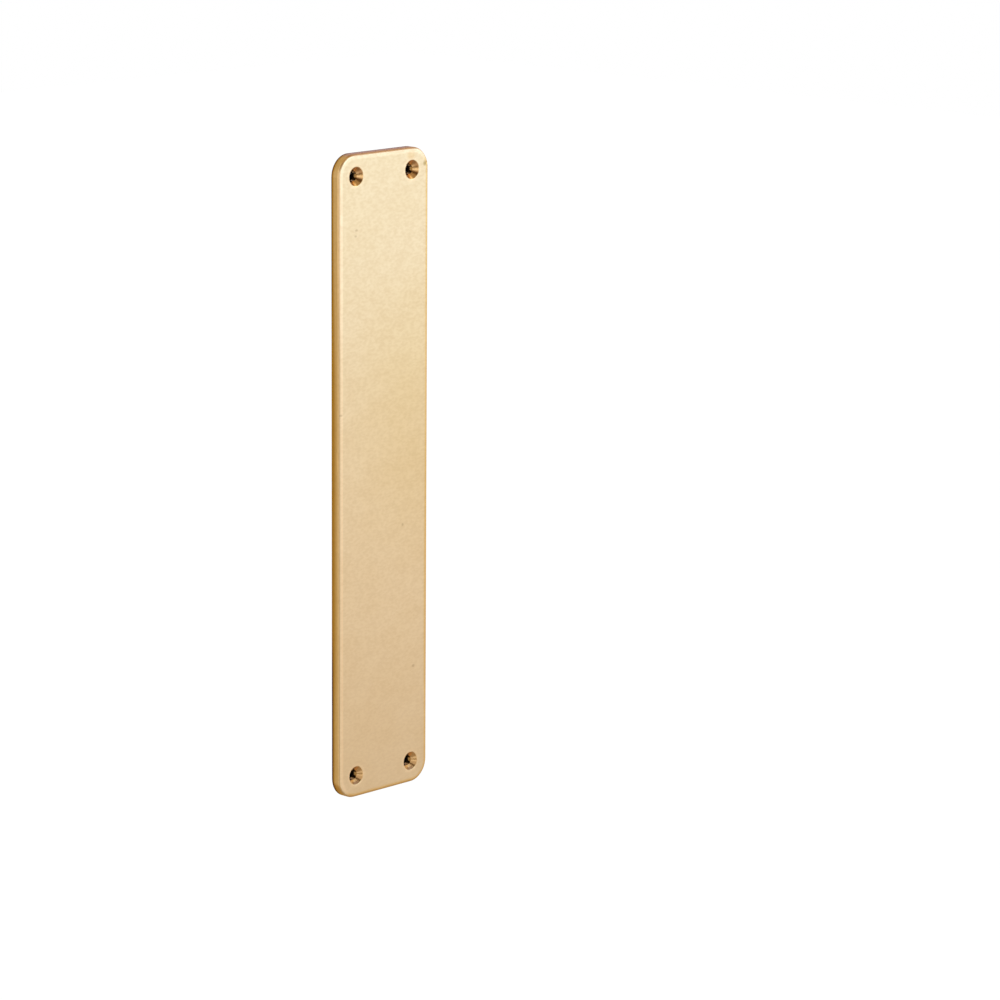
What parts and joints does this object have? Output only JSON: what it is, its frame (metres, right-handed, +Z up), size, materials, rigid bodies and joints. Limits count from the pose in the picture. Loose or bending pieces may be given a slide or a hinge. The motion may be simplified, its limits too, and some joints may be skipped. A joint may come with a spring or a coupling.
{
  "type": "door finger plate",
  "caption": "Flat upright brass plate with rounded corners, an eased front edge and countersunk screw holes, fixed to a door's face to keep hands off it.",
  "frame": {"origin": "middle of the back face, which lies on the door's face", "axes": "+Z up along the plate's length, +Y into the door, +X across the plate"},
  "size_m": [0.057, 0.005, 0.3],
  "materials": {
    "satin_brass": "satin"
  },
  "bodies": {
    "root": {"finger_plate": "satin_brass"}
  },
  "joints": []
}
